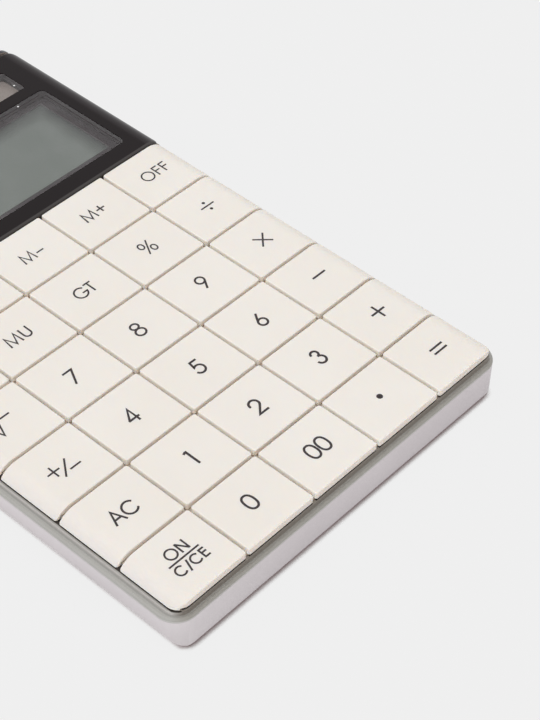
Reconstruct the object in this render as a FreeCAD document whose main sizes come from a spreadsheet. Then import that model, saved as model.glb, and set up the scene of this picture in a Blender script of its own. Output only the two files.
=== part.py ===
import FreeCAD, Part
import math
import os
import re
import Sketcher

# A solar desktop calculator of 30 keys. The origin is on the desk under the middle of the case, +X runs to
# the right, +Y away from the user to the display and +Z up. All sizes are millimetres.

os.makedirs("parts", exist_ok=True)
doc = FreeCAD.newDocument("DesktopCalculator")

# Key names from the user's edge to the display, each row from left to right
KEY_ROWS = [
    ["key_on_clear", "key_zero", "key_double_zero", "key_point", "key_equals"],
    ["key_all_clear", "key_one", "key_two", "key_three", "key_plus"],
    ["key_change_sign", "key_four", "key_five", "key_six", "key_minus"],
    ["key_square_root", "key_seven", "key_eight", "key_nine", "key_times"],
    ["key_backspace", "key_mark_up", "key_grand_total", "key_percent", "key_divide"],
    ["key_memory_clear", "key_memory_recall", "key_memory_minus", "key_memory_plus", "key_off"],
]
ROWS = len(KEY_ROWS)
COLUMNS = len(KEY_ROWS[0])

# Driving dimensions
SIZES = {
    "key_pitch_across": 22.0,
    "key_pitch_along": 19.05,
    "key_gap": 0.82,
    "side_inset": 0.4,
    "front_inset": 0.72,
    "back_inset": 0.1,
    "key_cap_height": 1.8,
    "key_roof": 1.2,
    "key_wall": 1.1,
    "crown_wall": 2.3,
    "key_corner": 0.6,
    "block_corner": 3.6,
    "edge_round": 0.3,
    "key_crown_radius": 6.0,
    "key_crown_drop": 2.2,
    "side_skirt_drop": 0.6,
    "side_skirt_wall": 1.3,
    "side_skirt_clearance": 0.3,
    "key_travel": 0.5,
    "stop_clearance": 0.1,
    "post_width": 4.0,
    "post_clearance": 0.1,
    "collar_wall": 1.0,
    "collar_height": 0.5,
    "leg_reach": 7.0,
    "leg_thickness": 1.2,
    "leg_width": 3.0,
    "hook_depth": 0.5,
    "hook_height": 0.6,
    "hook_clearance": 0.1,
    "leg_clearance": 0.15,
    "leg_spring_room": 0.55,
    "display_depth": 58.02,
    "trim_gap": 0.9,
    "trim_depth": 1.5,
    "trim_inset": 0.7,
    "cover_crown_radius": 5.6,
    "cover_crown_drop": 1.6,
    "cover_rise": 0.05,
    "cover_roof": 1.4,
    "cover_wall": 1.6,
    "cover_round": 0.7,
    "cover_corner": 1.2,
    "cover_back_corner": 2.6,
    "neck_step_side": 0.5,
    "neck_step_end": 0.1,
    "neck_corner": 3.9,
    "shelf_side": 1.44,
    "shelf_end": 1.13,
    "shelf_corner": 5.7,
    "shelf_round": 0.7,
    "neck_foot_round": 0.4,
    "neck_height": 1.77,
    "shelf_height": 0.8,
    "case_wall": 1.3,
    "case_floor": 1.2,
    "case_height": 9.05,
    "case_side_round": 5.5,
    "case_end_round": 0.4,
    "cavity_round": 4.2,
    "seam_bevel": 0.2,
    "deck_thickness": 1.2,
    "tongue_depth": 1.2,
    "tongue_clearance": 0.1,
    "housing_wall": 1.3,
    "foot_radius": 4.5,
    "foot_thickness": 1.3,
    "foot_recess": 0.5,
    "foot_clearance": 0.2,
    "foot_inset_side": 12.0,
    "foot_inset_end": 12.0,
    "board_thickness": 1.2,
    "board_drop": 3.9,
    "board_clearance": 0.6,
    "mat_sheet": 0.6,
    "mat_clearance": 1.2,
    "dome_base_radius": 4.6,
    "dome_top_radius": 3.2,
    "dome_wall": 0.7,
    "dome_roof": 1.4,
    "pill_radius": 1.6,
    "pill_thickness": 0.4,
    "post_seat_clearance": 0.05,
    "window_width": 95.5,
    "window_length": 32.45,
    "window_front": 5.97,
    "window_corner": 1.8,
    "window_thickness": 1.3,
    "window_clearance": 0.05,
    "well_inset": 0.3,
    "well_wall": 1.8,
    "view_width": 90.0,
    "view_length": 26.9,
    "view_shift": 0.57,
    "bezel_sill": 0.15,
    "bezel_floor": 0.45,
    "glass_margin": 3.0,
    "glass_thickness": 1.4,
    "reflector_thickness": 0.2,
    "reflector_margin": 1.2,
    "strip_width": 2.0,
    "strip_inset": 0.4,
    "deck_opening_clearance": 0.2,
    "solar_width": 38.0,
    "solar_length": 9.5,
    "solar_front": 42.3,
    "solar_side": 10.0,
    "solar_corner": 0.8,
    "solar_margin": 1.0,
    "solar_thickness": 0.7,
    "solar_seat_clearance": 0.2,
    "solar_lip_wall": 1.0,
    "solar_lip_clearance": 0.05,
    "lead_radius": 0.4,
    "lead_spacing": 30.0,
    "lead_clearance": 0.4,
    "cell_radius": 5.8,
    "cell_thickness": 5.4,
    "cell_side": 17.0,
    "cell_back": 12.4,
    "cell_clearance": 0.3,
    "cell_ring_wall": 0.9,
    "cell_ring_height": 2.2,
    "contact_thickness": 0.2,
    "contact_width": 4.0,
    "contact_reach": 10.5,
    "contact_slot_clearance": 0.5,
    "case_screw_head_radius": 2.2,
    "case_screw_head_height": 1.6,
    "case_screw_radius": 1.05,
    "case_screw_length": 5.0,
    "case_boss_wall": 1.5,
    "screw_bore_clearance": 0.05,
    "screw_head_clearance": 0.3,
    "screw_recess": 1.2,
    "pillar_height": 2.4,
    "pillar_wall": 0.8,
    "boss_board_clearance": 0.5,
    "board_screw_head_radius": 1.6,
    "board_screw_head_height": 1.0,
    "board_screw_radius": 0.75,
    "board_screw_length": 3.2,
    "board_boss_wall": 1.2,
    "slot_width": 0.5,
    "slot_depth": 0.5,
    "rear_screw_side": 30.0,
    "rear_screw_back": 6.6,
    "chip_radius": 7.0,
    "chip_height": 1.1,
    "capacitor_radius": 1.25,
    "capacitor_length": 7.0,
    "small_part_length": 1.6,
    "small_part_width": 0.8,
    "small_part_height": 0.5,
    "small_part_spacing": 4.0,
}

# Places worked out from the driving dimensions. Levels along Z start at the desk.
PLACES = {
    "case_bottom": "foot_thickness - foot_recess",
    "floor_top": "case_bottom + case_floor",
    "seam_level": "case_bottom + case_height",
    "shelf_level": "seam_level + shelf_height",
    "deck_top": "shelf_level + neck_height",
    "deck_bottom": "deck_top - deck_thickness",
    "skirt_level": "deck_top + key_travel + stop_clearance",
    "key_top": "skirt_level + key_cap_height",
    "ceiling_level": "key_top - key_roof",
    "cover_top": "key_top + cover_rise",
    "board_top": "deck_bottom - board_drop",
    "board_bottom": "board_top - board_thickness",
    "mat_top": "board_top + mat_sheet",
    "pill_bottom": "board_top + key_travel",
    "pill_top": "pill_bottom + pill_thickness",
    "dome_shoulder": "pill_top + dome_wall",
    "dome_top": "pill_top + dome_roof",
    "post_bottom": "dome_top + post_seat_clearance",
    "hook_top": "deck_bottom - hook_clearance",
    "hook_bottom": "hook_top - hook_height",
    "cover_ceiling": "cover_top - cover_roof",
    "bezel_bottom": "deck_top - bezel_floor",
    "glass_bottom": "bezel_bottom - glass_thickness",
    "reflector_bottom": "glass_bottom - reflector_thickness",
    "pillar_top": "floor_top + pillar_height",
    "screw_seat": "case_bottom + screw_recess + case_screw_head_height",
    "key_crown_span": "sqrt(2 * key_crown_radius * key_crown_drop - key_crown_drop ^ 2)",
    "cover_crown_span": "sqrt(2 * cover_crown_radius * cover_crown_drop - cover_crown_drop ^ 2)",
    "side_deck_level": "deck_top - side_skirt_drop",
    "block_side": f"{COLUMNS} * key_pitch_across / 2 - side_inset",
    "block_depth": f"{ROWS} * key_pitch_along - front_inset + display_depth + trim_gap + trim_depth",
    "neck_side": "block_side + neck_step_side",
    "case_side": "neck_side + shelf_side",
    "case_end": "block_depth / 2 + neck_step_end + shelf_end",
    "neck_end": "block_depth / 2 + neck_step_end",
    "cavity_side": "neck_side - housing_wall",
    "cavity_end": "neck_end - housing_wall",
    "field_front": "-(block_depth / 2) - front_inset",
    "display_line": f"field_front + {ROWS} * key_pitch_along",
    "cover_front": "display_line + key_gap / 2",
    "cover_back": "display_line + display_depth",
    "window_middle": "display_line + window_front + window_length / 2",
    "view_middle": "window_middle + view_shift",
    "solar_seat": "deck_top - solar_thickness",
    "solar_middle_side": "block_side + side_inset - solar_side - solar_width / 2",
    "solar_middle": "display_line + solar_front + solar_length / 2",
    "cell_across": "cell_side - block_side - side_inset",
    "cell_along": "block_depth / 2 - cell_back",
    "case_boss_radius": "case_screw_radius + screw_bore_clearance + case_boss_wall",
    "board_boss_radius": "board_screw_radius + screw_bore_clearance + board_boss_wall",
}

sheet = doc.addObject("Spreadsheet::Sheet", "Sizes")
for line, (alias, size) in enumerate(SIZES.items(), start=1):
    sheet.set(f"A{line}", alias)
    sheet.set(f"B{line}", str(size))
    sheet.setAlias(f"B{line}", alias)
doc.recompute()


def formula(text):
    """Write out a formula of named sizes and places as an expression on the sheet."""
    def name(match):
        word = match.group(0)
        if word in PLACES:
            return "(" + formula(PLACES[word]) + ")"
        if word in SIZES:
            return "Sizes." + word
        return word
    return re.sub(r"[a-z_]+", name, text)


def value(text):
    """The number that a formula gives now."""
    return float(sheet.evalExpression(formula(text)))


def bind(item, path, text):
    item.setExpression(path, formula(text))


def move(item, x="0", y="0", z="0"):
    """Tie the place of an object to formulas."""
    bind(item, ".Placement.Base.x", x)
    bind(item, ".Placement.Base.y", y)
    bind(item, ".Placement.Base.z", z)
    return item


# Sketches and features of bodies
def new_body(name):
    return doc.addObject("PartDesign::Body", name)


def origin_item(body, role):
    return next(item for item in body.Origin.OriginFeatures if item.Role == role)


def new_sketch(body, name, level, plane="XY_Plane"):
    sketch = body.newObject("Sketcher::SketchObject", f"{body.Name}_{name}")
    sketch.AttachmentSupport = (origin_item(body, plane), [""])
    sketch.MapMode = "FlatFace"
    bind(sketch, ".AttachmentOffset.Base.z", level)
    return sketch


def pin(sketch, side, point, x, y):
    """Hold one point of a sketch at the place that two formulas give."""
    for kind, text in (("DistanceX", x), ("DistanceY", y)):
        index = sketch.addConstraint(Sketcher.Constraint(kind, -1, 1, side, point, value(text)))
        bind(sketch, f"Constraints[{index}]", text)


def draw_outline(sketch, corners, arcs=None):
    """Draw a closed outline. arcs gives the radius of a side and 1 or -1 for a left or right bend."""
    arcs = arcs or {}
    points = [FreeCAD.Vector(value(x), value(y), 0) for x, y in corners]
    count = len(points)
    first = sketch.GeometryCount
    ends = []
    for side, start in enumerate(points):
        stop = points[(side + 1) % count]
        if side not in arcs:
            sketch.addGeometry(Part.LineSegment(start, stop), False)
            ends.append((1, 2))
            continue
        radius = value(arcs[side][0])
        bend = arcs[side][1]
        chord = stop - start
        across = FreeCAD.Vector(-chord.y, chord.x, 0).normalize()
        reach = math.sqrt(radius ** 2 - chord.Length ** 2 / 4)
        centre = (start + stop) / 2 + across * reach * bend
        from_start = math.atan2(start.y - centre.y, start.x - centre.x)
        from_stop = math.atan2(stop.y - centre.y, stop.x - centre.x)
        angles = (from_start, from_stop) if bend > 0 else (from_stop, from_start)
        circle = Part.Circle(centre, FreeCAD.Vector(0, 0, 1), radius)
        sketch.addGeometry(Part.ArcOfCircle(circle, *angles), False)
        ends.append((1, 2) if bend > 0 else (2, 1))
    for side in range(count):
        after = (side + 1) % count
        rule = Sketcher.Constraint("Coincident", first + side, ends[side][1], first + after, ends[after][0])
        sketch.addConstraint(rule)
    for side, (x, y) in enumerate(corners):
        pin(sketch, first + side, ends[side][0], x, y)
    for side, (radius, bend) in arcs.items():
        index = sketch.addConstraint(Sketcher.Constraint("Radius", first + side, value(radius)))
        bind(sketch, f"Constraints[{index}]", radius)
    return sketch


def draw_box(sketch, left, right, front, back):
    return draw_outline(sketch, [(left, front), (right, front), (right, back), (left, back)])


def draw_rounded(sketch, left, right, front, back, radii):
    """A rectangle with rounded corners, radii given from the front left corner round to the back left."""
    front_left, front_right, back_right, back_left = [f"({radius})" for radius in radii]
    corners = [
        (f"{left} + {front_left}", front),
        (f"{right} - {front_right}", front),
        (right, f"{front} + {front_right}"),
        (right, f"{back} - {back_right}"),
        (f"{right} - {back_right}", back),
        (f"{left} + {back_left}", back),
        (left, f"{back} - {back_left}"),
        (left, f"{front} + {front_left}"),
    ]
    arcs = {1: (front_right, 1), 3: (back_right, 1), 5: (back_left, 1), 7: (front_left, 1)}
    return draw_outline(sketch, corners, arcs)


def draw_circle(sketch, x, y, radius):
    centre = FreeCAD.Vector(value(x), value(y), 0)
    index = sketch.addGeometry(Part.Circle(centre, FreeCAD.Vector(0, 0, 1), value(radius)), False)
    pin(sketch, index, 3, x, y)
    rule = sketch.addConstraint(Sketcher.Constraint("Radius", index, value(radius)))
    bind(sketch, f"Constraints[{rule}]", radius)
    return sketch


def extrude(kind, body, sketch, length, flipped=False):
    """A Pad or a Pocket of a sketch, over a length that a formula gives."""
    feature = body.newObject(f"PartDesign::{kind}", f"{sketch.Name}_{kind.lower()}")
    feature.Profile = sketch
    feature.Reversed = flipped
    bind(feature, "Length", length)
    body.Tip = feature
    return feature


def upward_pad(body, sketch, length):
    return extrude("Pad", body, sketch, length)


def downward_pad(body, sketch, length):
    return extrude("Pad", body, sketch, length, flipped=True)


def upward_pocket(body, sketch, length):
    return extrude("Pocket", body, sketch, length, flipped=True)


def downward_pocket(body, sketch, length):
    return extrude("Pocket", body, sketch, length)


def grid_pattern(body, name, originals):
    """Repeat features of the first key place over all key places."""
    grid = body.newObject("PartDesign::MultiTransform", f"{body.Name}_{name}")
    grid.Originals = originals
    steps = []
    for axis, count, pitch in (("X_Axis", COLUMNS, "key_pitch_across"), ("Y_Axis", ROWS, "key_pitch_along")):
        step = body.newObject("PartDesign::LinearPattern", f"{body.Name}_{name}_{axis[0].lower()}")
        step.Direction = (origin_item(body, axis), [""])
        step.Occurrences = count
        bind(step, "Length", f"{count - 1} * {pitch}")
        steps.append(step)
    grid.Transformations = steps
    body.Tip = grid
    return grid


def face_kind(face):
    """wall, top or bottom, by the way in which the middle of a face looks."""
    low_u, high_u, low_v, high_v = face.ParameterRange
    normal = face.normalAt((low_u + high_u) / 2, (low_v + high_v) / 2)
    if abs(normal.z) < 1e-6:
        return "wall"
    return "top" if normal.z > 0 else "bottom"


def edges_between(shape, kind, other_kind):
    """Names of the edges where a face of one kind meets a face of another kind."""
    names = []
    faces = [(face_kind(face), face) for face in shape.Faces]
    for index, edge in enumerate(shape.Edges, start=1):
        kinds = {k for k, face in faces if any(edge.isSame(side) for side in face.Edges)}
        if kinds == {kind, other_kind}:
            names.append(f"Edge{index}")
    return names


def edges_at(shape, level, side=0):
    """Names of the edges that lie whole at one level and, if a side is given, run along it."""
    names = []
    for index, edge in enumerate(shape.Edges, start=1):
        box = edge.BoundBox
        level_edge = abs(box.ZMin - level) < 1e-5 and abs(box.ZMax - level) < 1e-5
        along_side = box.YLength > 0.5 and max(box.XMax, -box.XMin) > side - 1e-5
        if level_edge and (not side or along_side):
            names.append(f"Edge{index}")
    return names


def round_edges(body, feature, names, radius):
    fillet = body.newObject("PartDesign::Fillet", f"{body.Name}_round_{len(body.Group)}")
    fillet.Base = (feature, names)
    bind(fillet, "Radius", radius)
    body.Tip = fillet
    return fillet


# Part primitives and booleans
def box(name, left, right, front, back, bottom, top):
    item = doc.addObject("Part::Box", name)
    bind(item, "Length", f"({right}) - ({left})")
    bind(item, "Width", f"({back}) - ({front})")
    bind(item, "Height", f"({top}) - ({bottom})")
    return move(item, left, front, bottom)


def cylinder(name, x, y, bottom, top, radius):
    item = doc.addObject("Part::Cylinder", name)
    bind(item, "Radius", radius)
    bind(item, "Height", f"({top}) - ({bottom})")
    return move(item, x, y, bottom)


def fuse(name, items):
    item = doc.addObject("Part::MultiFuse", name)
    item.Shapes = items
    return item


def cut(name, base, tool):
    item = doc.addObject("Part::Cut", name)
    item.Base = base
    item.Tool = tool
    return item


def group(name, items):
    item = doc.addObject("Part::Compound", name)
    item.Links = items
    return item


nodes = {}


def keep(node, item):
    """Name an object as one sub-part of the calculator."""
    item.Label = node
    nodes[node] = item
    return item


# Outline across the calculator of everything that stands on the deck: flat, with both sides curving down. The
# keys curve down further than the cover, so their skirts hang deeper at the side.
def draw_crown(sketch, left, right, low, top, crown, round_left=True, round_right=True):
    deep = f"{low} - side_skirt_drop"
    corners = [(left, low)]
    if crown == "key" and round_left:
        inside = f"{left} + side_skirt_wall"
        corners = [(left, deep), (inside, deep), (inside, low)]
    if crown == "key" and round_right:
        inside = f"{right} - side_skirt_wall"
        corners += [(inside, low), (inside, deep), (right, deep)]
    else:
        corners.append((right, low))
    arcs = {}
    if round_right:
        corners.append((right, f"{top} - {crown}_crown_drop"))
        arcs[len(corners) - 1] = (f"{crown}_crown_radius", 1)
        corners.append((f"{right} - {crown}_crown_span", top))
    else:
        corners.append((right, top))
    if round_left:
        corners.append((f"{left} + {crown}_crown_span", top))
        arcs[len(corners) - 1] = (f"{crown}_crown_radius", 1)
        corners.append((left, f"{top} - {crown}_crown_drop"))
    else:
        corners.append((left, top))
    return draw_outline(sketch, corners, arcs)


def crown_block(body, left, right, front, back, low, top, radii, crown, round_left=True, round_right=True,
                rounding="edge_round"):
    """A block with the crown outline, rounded corners in plan and a rounded upper edge."""
    section = new_sketch(body, "section", f"-({back})", "XZ_Plane")
    draw_crown(section, left, right, low, top, crown, round_left, round_right)
    upward_pad(body, section, f"({back}) - ({front})")
    margin = "+ key_cap_height"
    plan = new_sketch(body, "plan", f"{top} + edge_round")
    draw_box(plan, f"{left} - key_cap_height", f"{right} {margin}",
             f"{front} - key_cap_height", f"{back} {margin}")
    draw_rounded(plan, left, right, front, back, radii)
    trimmed = downward_pocket(body, plan, f"{top} - ({low}) + 2 * edge_round + side_skirt_drop")
    doc.recompute()
    return round_edges(body, trimmed, edges_between(trimmed.Shape, "wall", "top"), rounding)


# Keys. A key is a hollow cap with a square post that stands on its rubber dome and two snap legs that hook
# under the deck. The outer columns curve down at the side, and the two front corner keys are rounded in plan.
def key_master(column_kind, row_kind):
    body = new_body(f"{column_kind}_{row_kind}_key")
    left = "-(key_pitch_across / 2) + " + ("side_inset" if column_kind == "left" else "key_gap / 2")
    right = "key_pitch_across / 2 - " + ("side_inset" if column_kind == "right" else "key_gap / 2")
    front = "-(key_pitch_along / 2) + " + ("front_inset" if row_kind == "front" else "key_gap / 2")
    back = "key_pitch_along / 2 - " + ("back_inset" if row_kind == "back" else "key_gap / 2")
    radii = ["key_corner"] * 4
    if row_kind == "front" and column_kind == "left":
        radii[0] = "block_corner"
    if row_kind == "front" and column_kind == "right":
        radii[1] = "block_corner"
    crown_block(body, left, right, front, back, "skirt_level", "key_top", radii, "key",
                column_kind == "left", column_kind == "right")

    hollow = new_sketch(body, "hollow", "skirt_level")
    left_wall = "crown_wall" if column_kind == "left" else "key_wall"
    right_wall = "crown_wall" if column_kind == "right" else "key_wall"
    draw_box(hollow, f"{left} + {left_wall}", f"{right} - {right_wall}",
             f"{front} + key_wall", f"{back} - key_wall")
    upward_pocket(body, hollow, "ceiling_level - skirt_level")

    post = new_sketch(body, "post", "post_bottom")
    draw_box(post, "-post_width / 2", "post_width / 2", "-post_width / 2", "post_width / 2")
    upward_pad(body, post, "ceiling_level - post_bottom + key_roof / 2")

    legs = new_sketch(body, "legs", "hook_bottom")
    hooks = new_sketch(body, "hooks", "hook_bottom")
    for side in ("", "-"):
        edges = [f"{side}(leg_reach - leg_thickness / 2)", f"{side}(leg_reach + leg_thickness / 2)"]
        tip = f"{side}(leg_reach + leg_thickness / 2 + hook_depth)"
        near, far = edges if side == "" else edges[::-1]
        draw_box(legs, near, far, "-leg_width / 2", "leg_width / 2")
        near, far = (edges[0], tip) if side == "" else (tip, edges[0])
        draw_box(hooks, near, far, "-leg_width / 2", "leg_width / 2")
    upward_pad(body, legs, "ceiling_level - hook_bottom + key_roof / 2")
    upward_pad(body, hooks, "hook_height")
    return body


masters = {}
for column_kind in ("left", "middle", "right"):
    for row_kind in ("front", "inner", "back"):
        masters[column_kind, row_kind] = key_master(column_kind, row_kind)

for row, labels in enumerate(KEY_ROWS):
    row_kind = {0: "front", ROWS - 1: "back"}.get(row, "inner")
    for column, label in enumerate(labels):
        column_kind = {0: "left", COLUMNS - 1: "right"}.get(column, "middle")
        key = new_body(label)
        copy = key.newObject("PartDesign::FeatureBase", f"{label}_shape")
        copy.BaseFeature = masters[column_kind, row_kind]
        key.Tip = copy
        across = f"({column + 0.5} - {COLUMNS} / 2) * key_pitch_across"
        along = f"field_front + {row + 0.5} * key_pitch_along"
        keep(label, move(key, across, along))

# Places of the screws: two case screws between front keys, two behind the display, four board screws
FRONT_SCREW_COLUMN = 1
BOARD_SCREW_ROWS = (1, 4)
case_screws = []
for side in ("-", ""):
    case_screws.append((
        f"{side}({COLUMNS / 2 - FRONT_SCREW_COLUMN} * key_pitch_across)",
        "field_front + key_pitch_along",
    ))
    case_screws.append((f"{side}(block_side + side_inset - rear_screw_side)",
                        "block_depth / 2 - rear_screw_back"))
board_screws = []
for side in ("-", ""):
    for row in BOARD_SCREW_ROWS:
        board_screws.append((f"{side}(key_pitch_across / 2)", f"field_front + {row} * key_pitch_along"))

# Upper housing: the deck that guides the keys, its neck, the rounded shelf round it and a tongue that
# sits inside the lower case. Along both sides of the keys the deck steps down under their deeper skirts.
housing = new_body("upper_housing")
shelf = new_sketch(housing, "shelf", "seam_level")
draw_rounded(shelf, "-case_side", "case_side", "-case_end", "case_end", ["shelf_corner"] * 4)
shelf_pad = upward_pad(housing, shelf, "shelf_height")
doc.recompute()
round_edges(housing, shelf_pad, edges_at(shelf_pad.Shape, value("shelf_level")), "shelf_round")
neck = new_sketch(housing, "neck", "shelf_level")
draw_rounded(neck, "-neck_side", "neck_side", "-neck_end", "neck_end", ["neck_corner"] * 4)
upward_pad(housing, neck, "neck_height")
side_steps = new_sketch(housing, "side_steps", "deck_top")
step_inside = "(block_side - side_skirt_wall - side_skirt_clearance)"
draw_box(side_steps, "-case_side", f"-{step_inside}", "-case_end", "cover_front")
draw_box(side_steps, step_inside, "case_side", "-case_end", "cover_front")
stepped = downward_pocket(housing, side_steps, "side_skirt_drop")
doc.recompute()
rim_edges = edges_at(stepped.Shape, value("deck_top"))
rim_edges += edges_at(stepped.Shape, value("side_deck_level"), value("neck_side"))
neck_round = round_edges(housing, stepped, rim_edges, "edge_round")
doc.recompute()
foot_edges = set(edges_between(neck_round.Shape, "wall", "top"))
foot_edges &= set(edges_at(neck_round.Shape, value("shelf_level")))
round_edges(housing, neck_round, sorted(foot_edges), "neck_foot_round")
tongue = new_sketch(housing, "tongue", "seam_level")
tongue_side = "case_side - case_wall - tongue_clearance"
tongue_end = "case_end - case_wall - tongue_clearance"
tongue_corner = "shelf_corner - case_wall - tongue_clearance"
draw_rounded(tongue, f"-({tongue_side})", tongue_side, f"-({tongue_end})", tongue_end, [tongue_corner] * 4)
downward_pad(housing, tongue, "tongue_depth")
room = new_sketch(housing, "room", "seam_level - tongue_depth")
room_corner = "neck_corner - housing_wall"
draw_rounded(room, "-cavity_side", "cavity_side", "-cavity_end", "cavity_end", [room_corner] * 4)
upward_pocket(housing, room, "deck_bottom - seam_level + tongue_depth")

first_across = f"-({(COLUMNS - 1) / 2} * key_pitch_across)"
first_along = "field_front + key_pitch_along / 2"
collar = new_sketch(housing, "collar", "deck_top")
hole_half = "(post_width / 2 + post_clearance)"
collar_half = "(post_width / 2 + post_clearance + collar_wall)"
for half in (collar_half, hole_half):
    draw_box(collar, f"{first_across} - {half}", f"{first_across} + {half}",
             f"{first_along} - {half}", f"{first_along} + {half}")
collar_pad = upward_pad(housing, collar, "collar_height")
holes = new_sketch(housing, "key_holes", "deck_top")
draw_box(holes, f"{first_across} - {hole_half}", f"{first_across} + {hole_half}",
         f"{first_along} - {hole_half}", f"{first_along} + {hole_half}")
slot_near = "(leg_reach - leg_thickness / 2 - leg_spring_room)"
slot_far = "(leg_reach + leg_thickness / 2 + leg_clearance)"
slot_half = "(leg_width / 2 + leg_clearance)"
draw_box(holes, f"{first_across} + {slot_near}", f"{first_across} + {slot_far}",
         f"{first_along} - {slot_half}", f"{first_along} + {slot_half}")
draw_box(holes, f"{first_across} - {slot_far}", f"{first_across} - {slot_near}",
         f"{first_along} - {slot_half}", f"{first_along} + {slot_half}")
holes_pocket = downward_pocket(housing, holes, "deck_thickness")
grid_pattern(housing, "key_places", [collar_pad, holes_pocket])

bosses = new_sketch(housing, "case_bosses", "deck_bottom")
for x, y in case_screws:
    draw_circle(bosses, x, y, "case_boss_radius")
downward_pad(housing, bosses, "deck_bottom - pillar_top")
board_bosses = new_sketch(housing, "board_bosses", "deck_bottom")
for x, y in board_screws:
    draw_circle(board_bosses, x, y, "board_boss_radius")
downward_pad(housing, board_bosses, "board_drop")
bores = new_sketch(housing, "case_bores", "pillar_top")
for x, y in case_screws:
    draw_circle(bores, x, y, "case_screw_radius + screw_bore_clearance")
upward_pocket(housing, bores, "screw_seat + case_screw_length - pillar_top + screw_head_clearance")
board_bores = new_sketch(housing, "board_bores", "board_top")
for x, y in board_screws:
    draw_circle(board_bores, x, y, "board_screw_radius + screw_bore_clearance")
upward_pocket(housing, board_bores, "board_screw_length - board_thickness + screw_head_clearance")

glass_half_width = "(view_width / 2 + glass_margin + deck_opening_clearance)"
glass_half_length = "(view_length / 2 + glass_margin + deck_opening_clearance)"
display_opening = new_sketch(housing, "display_opening", "deck_top")
draw_box(display_opening, f"-{glass_half_width}", glass_half_width,
         f"view_middle - {glass_half_length}", f"view_middle + {glass_half_length}")
downward_pocket(housing, display_opening, "deck_thickness")
solar_seat = new_sketch(housing, "solar_seat", "deck_top")
seat_margin = "(solar_margin + solar_seat_clearance)"
draw_box(solar_seat, f"solar_middle_side - solar_width / 2 - {seat_margin}",
         f"solar_middle_side + solar_width / 2 + {seat_margin}",
         f"solar_middle - solar_length / 2 - {seat_margin}",
         f"solar_middle + solar_length / 2 + {seat_margin}")
downward_pocket(housing, solar_seat, "solar_thickness")
lead_holes = new_sketch(housing, "lead_holes", "deck_top")
lead_places = [f"solar_middle_side {sign} lead_spacing / 2" for sign in ("-", "+")]
for x in lead_places:
    draw_circle(lead_holes, x, "solar_middle", "lead_radius + lead_clearance")
downward_pocket(housing, lead_holes, "deck_thickness")
keep("upper_housing", housing)

# Display cover: a glossy hollow cover that curves down at both sides, with two window openings, the smaller
# one with a lip down to the solar cell
cover = new_body("display_cover")
crown_block(cover, "-block_side", "block_side", "cover_front", "cover_back", "deck_top", "cover_top",
            ["cover_corner", "cover_corner", "cover_back_corner", "cover_back_corner"], "cover",
            rounding="cover_round")
under = new_sketch(cover, "hollow", "deck_top")
draw_box(under, "-(block_side - crown_wall)", "block_side - crown_wall",
         "cover_front + cover_wall", "cover_back - cover_wall")
upward_pocket(cover, under, "cover_ceiling - deck_top")


def draw_solar_window(sketch, extra):
    """The outline of the solar window, larger all round by what a formula gives."""
    draw_rounded(sketch, f"solar_middle_side - solar_width / 2 - ({extra})",
                 f"solar_middle_side + solar_width / 2 + ({extra})",
                 f"display_line + solar_front - ({extra})",
                 f"display_line + solar_front + solar_length + ({extra})", [f"solar_corner + ({extra})"] * 4)


solar_lip = new_sketch(cover, "solar_lip", "deck_top + solar_lip_clearance")
draw_solar_window(solar_lip, "solar_lip_wall")
upward_pad(cover, solar_lip, "cover_ceiling - deck_top - solar_lip_clearance + cover_roof / 2")
solar_view = new_sketch(cover, "solar_view", "cover_top")
draw_solar_window(solar_view, "-well_inset")
downward_pocket(cover, solar_view, "cover_top - deck_top")
openings = new_sketch(cover, "openings", "cover_top")
draw_rounded(openings, "-window_width / 2", "window_width / 2", "display_line + window_front",
             "display_line + window_front + window_length", ["window_corner"] * 4)
draw_solar_window(openings, "0")
downward_pocket(cover, openings, "cover_roof")
keep("display_cover", cover)

# Dark strip behind the display cover, rounded like the front corner keys
trim = new_body("rear_trim")
crown_block(trim, "-(block_side - trim_inset)", "block_side - trim_inset", "cover_back + trim_gap",
            "cover_back + trim_gap + trim_depth", "deck_top", "key_top",
            ["edge_round", "edge_round", "trim_depth - 2 * edge_round", "trim_depth - 2 * edge_round"],
            "cover")
keep("rear_trim", trim)


# Clear windows, let into the cover flush with its top
def window_pane(node, middle_x, middle_y, width, length, corner):
    pane = new_body(node)
    plan = new_sketch(pane, "plan", "cover_ceiling")
    half_width = f"({width} / 2 - window_clearance)"
    half_length = f"({length} / 2 - window_clearance)"
    draw_rounded(plan, f"{middle_x} - {half_width}", f"{middle_x} + {half_width}",
                 f"{middle_y} - {half_length}", f"{middle_y} + {half_length}",
                 [f"({corner} - window_clearance)"] * 4)
    upward_pad(pane, plan, "window_thickness")
    return keep(node, pane)


window_pane("display_window", "0", "window_middle", "window_width", "window_length", "window_corner")
window_pane("solar_window", "solar_middle_side", "solar_middle", "solar_width", "solar_length",
            "solar_corner")

# Bezel: a dark frame on the deck that carries the window and masks the rim of the display glass
bezel = new_body("display_bezel")
well_half_width = "(window_width / 2 - well_inset)"
well_half_length = "(window_length / 2 - well_inset)"
ring = new_sketch(bezel, "ring", "deck_top")
for extra in ("+ well_wall", ""):
    draw_box(ring, f"-({well_half_width} {extra})", f"{well_half_width} {extra}",
             f"window_middle - ({well_half_length} {extra})", f"window_middle + ({well_half_length} {extra})")
upward_pad(bezel, ring, "cover_ceiling - deck_top")
sill = new_sketch(bezel, "sill", "deck_top")
draw_box(sill, f"-({well_half_width} + well_wall)", f"{well_half_width} + well_wall",
         f"window_middle - ({well_half_length} + well_wall)",
         f"window_middle + ({well_half_length} + well_wall)")
draw_box(sill, "-view_width / 2", "view_width / 2",
         "view_middle - view_length / 2", "view_middle + view_length / 2")
upward_pad(bezel, sill, "bezel_sill")
seat = new_sketch(bezel, "seat", "deck_top")
seat_half_width = "(view_width / 2 + glass_margin)"
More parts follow.
